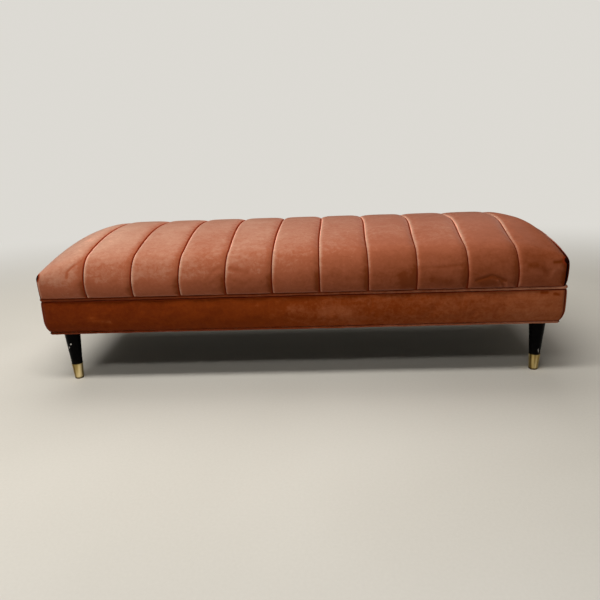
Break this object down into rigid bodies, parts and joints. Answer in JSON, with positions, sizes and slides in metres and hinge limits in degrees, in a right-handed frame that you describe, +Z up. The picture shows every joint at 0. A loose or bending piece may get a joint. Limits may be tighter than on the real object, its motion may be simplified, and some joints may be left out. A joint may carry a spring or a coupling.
{
  "type": "upholstered bench",
  "caption": "Long low upholstered bench: crowned velvet seat sewn in channels across, piped padded band, tapered black legs with brass feet.",
  "frame": {"origin": "on the floor under the middle of the bench", "axes": "+X along the bench to the right as seen from the front, +Y from the front to the back, +Z up"},
  "size_m": [1.426, 0.5548, 0.397],
  "materials": {
    "pink_velvet": "matte",
    "black_lacquer": "satin",
    "brushed_brass": "satin",
    "pine": "matte",
    "plywood": "matte",
    "seat_foam": "matte",
    "dust_cloth": "matte",
    "zinc_steel": "satin"
  },
  "bodies": {
    "root": {"channel_pad_01": "pink_velvet", "channel_pad_02": "pink_velvet", "channel_pad_03": "pink_velvet", "channel_pad_04": "pink_velvet", "channel_pad_05": "pink_velvet", "channel_pad_06": "pink_velvet", "channel_pad_07": "pink_velvet", "channel_pad_08": "pink_velvet", "channel_pad_09": "pink_velvet", "channel_pad_10": "pink_velvet", "channel_pad_11": "pink_velvet", "cross_rail_1": "pine", "cross_rail_2": "pine", "cross_rail_3": "pine", "deck_screws": "zinc_steel", "dust_cover": "dust_cloth", "frame_screws": "zinc_steel", "front_band_cover": "pink_velvet", "front_left_corner_block": "pine", "front_left_ferrule": "brushed_brass", "front_left_leg": "black_lacquer", "front_left_leg_bolt": "zinc_steel", "front_rail": "pine", "front_right_corner_block": "pine", "front_right_ferrule": "brushed_brass", "front_right_leg": "black_lacquer", "front_right_leg_bolt": "zinc_steel", "left_end_band_cover": "pink_velvet", "left_end_panel": "pink_velvet", "left_end_rail": "pine", "lower_welt": "pink_velvet", "rear_band_cover": "pink_velvet", "rear_left_corner_block": "pine", "rear_left_ferrule": "brushed_brass", "rear_left_leg": "black_lacquer", "rear_left_leg_bolt": "zinc_steel", "rear_rail": "pine", "rear_right_corner_block": "pine", "rear_right_ferrule": "brushed_brass", "rear_right_leg": "black_lacquer", "rear_right_leg_bolt": "zinc_steel", "right_end_band_cover": "pink_velvet", "right_end_panel": "pink_velvet", "right_end_rail": "pine", "seat_deck": "plywood", "seat_foam": "seat_foam", "tee_nuts": "zinc_steel", "upper_welt": "pink_velvet"}
  },
  "joints": []
}
